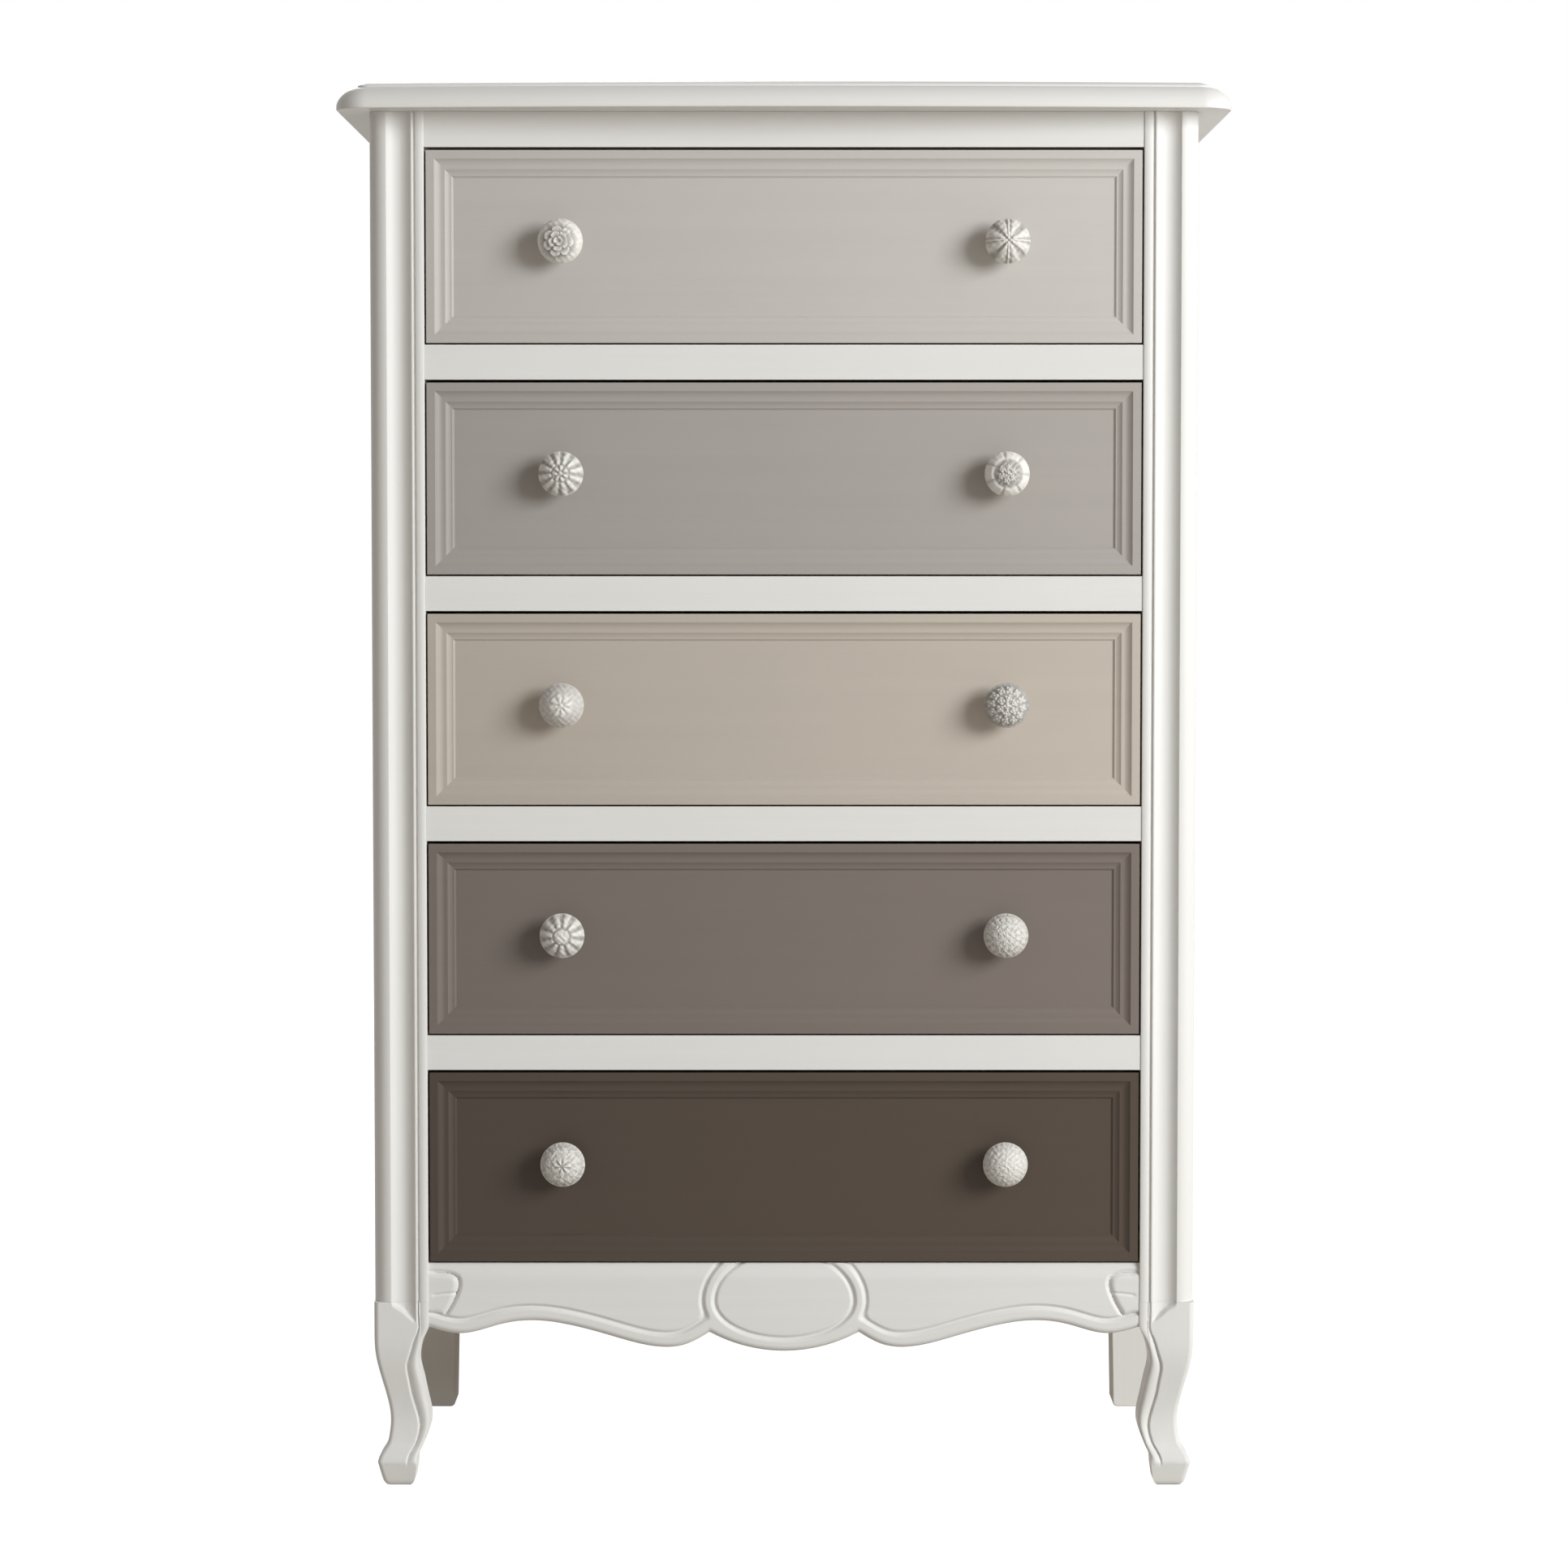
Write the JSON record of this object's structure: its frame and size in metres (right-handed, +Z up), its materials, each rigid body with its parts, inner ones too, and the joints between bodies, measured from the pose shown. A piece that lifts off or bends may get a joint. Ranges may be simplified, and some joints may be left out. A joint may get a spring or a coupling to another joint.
{
  "type": "chest of drawers",
  "caption": "Tall painted chest of drawers with moulded posts, a scalloped carved apron on cabriole legs, inset drawers and carved round knobs.",
  "frame": {"origin": "on the floor, under the middle of the whole chest's outline", "axes": "+X to the viewer's right, -Y out of the front, where the drawers open, +Z up"},
  "size_m": [0.793, 0.468, 1.2555],
  "materials": {
    "white_paint": "warm off-white satin paint with a faint brushed grain",
    "drawer_1_paint": "pale warm grey satin paint",
    "drawer_2_paint": "mid warm grey satin paint",
    "drawer_3_paint": "putty beige satin paint",
    "drawer_4_paint": "taupe satin paint",
    "drawer_5_paint": "dark brown taupe satin paint",
    "knob_paint": "off-white satin paint over carved relief",
    "drawer_wood": "plain sanded light hardwood, clear matt",
    "drawer_ply": "sanded plywood, clear matt",
    "case_wood": "sawn softwood, unfinished",
    "back_ply": "plywood, unfinished",
    "screw_steel": "zinc plated"
  },
  "bodies": {
    "root": {"top_panel": "white_paint", "frieze_rail": "white_paint", "drawer_rail_1": "white_paint", "drawer_rail_2": "white_paint", "drawer_rail_3": "white_paint", "drawer_rail_4": "white_paint", "apron": "white_paint", "front_post_left": "white_paint", "front_post_right": "white_paint", "front_leg_left": "white_paint", "front_leg_right": "white_paint", "rear_post_left": "white_paint", "rear_post_right": "white_paint", "side_panel_left": "white_paint", "side_panel_right": "white_paint", "back_panel": "back_ply", "runners_left": "case_wood", "runners_right": "case_wood", "rear_rails": "case_wood", "drawer_stops": "case_wood"},
    "drawer_1": {"drawer_1_front": "drawer_1_paint", "drawer_1_side_left": "drawer_wood", "drawer_1_side_right": "drawer_wood", "drawer_1_back": "drawer_wood", "drawer_1_bottom": "drawer_ply", "drawer_1_knob_left": "knob_paint", "drawer_1_knob_right": "knob_paint", "drawer_1_knob_screws": "screw_steel"},
    "drawer_2": {"drawer_2_front": "drawer_2_paint", "drawer_2_side_left": "drawer_wood", "drawer_2_side_right": "drawer_wood", "drawer_2_back": "drawer_wood", "drawer_2_bottom": "drawer_ply", "drawer_2_knob_left": "knob_paint", "drawer_2_knob_right": "knob_paint", "drawer_2_knob_screws": "screw_steel"},
    "drawer_3": {"drawer_3_front": "drawer_3_paint", "drawer_3_side_left": "drawer_wood", "drawer_3_side_right": "drawer_wood", "drawer_3_back": "drawer_wood", "drawer_3_bottom": "drawer_ply", "drawer_3_knob_left": "knob_paint", "drawer_3_knob_right": "knob_paint", "drawer_3_knob_screws": "screw_steel"},
    "drawer_4": {"drawer_4_front": "drawer_4_paint", "drawer_4_side_left": "drawer_wood", "drawer_4_side_right": "drawer_wood", "drawer_4_back": "drawer_wood", "drawer_4_bottom": "drawer_ply", "drawer_4_knob_left": "knob_paint", "drawer_4_knob_right": "knob_paint", "drawer_4_knob_screws": "screw_steel"},
    "drawer_5": {"drawer_5_front": "drawer_5_paint", "drawer_5_side_left": "drawer_wood", "drawer_5_side_right": "drawer_wood", "drawer_5_back": "drawer_wood", "drawer_5_bottom": "drawer_ply", "drawer_5_knob_left": "knob_paint", "drawer_5_knob_right": "knob_paint", "drawer_5_knob_screws": "screw_steel"}
  },
  "joints": [
    {"name": "drawer_1_slide", "type": "slide", "parent": "root", "child": "drawer_1", "axis": [0, -1, 0], "range_m": [0, 0.28]},
    {"name": "drawer_2_slide", "type": "slide", "parent": "root", "child": "drawer_2", "axis": [0, -1, 0], "range_m": [0, 0.28]},
    {"name": "drawer_3_slide", "type": "slide", "parent": "root", "child": "drawer_3", "axis": [0, -1, 0], "range_m": [0, 0.28]},
    {"name": "drawer_4_slide", "type": "slide", "parent": "root", "child": "drawer_4", "axis": [0, -1, 0], "range_m": [0, 0.28]},
    {"name": "drawer_5_slide", "type": "slide", "parent": "root", "child": "drawer_5", "axis": [0, -1, 0], "range_m": [0, 0.28]}
  ]
}
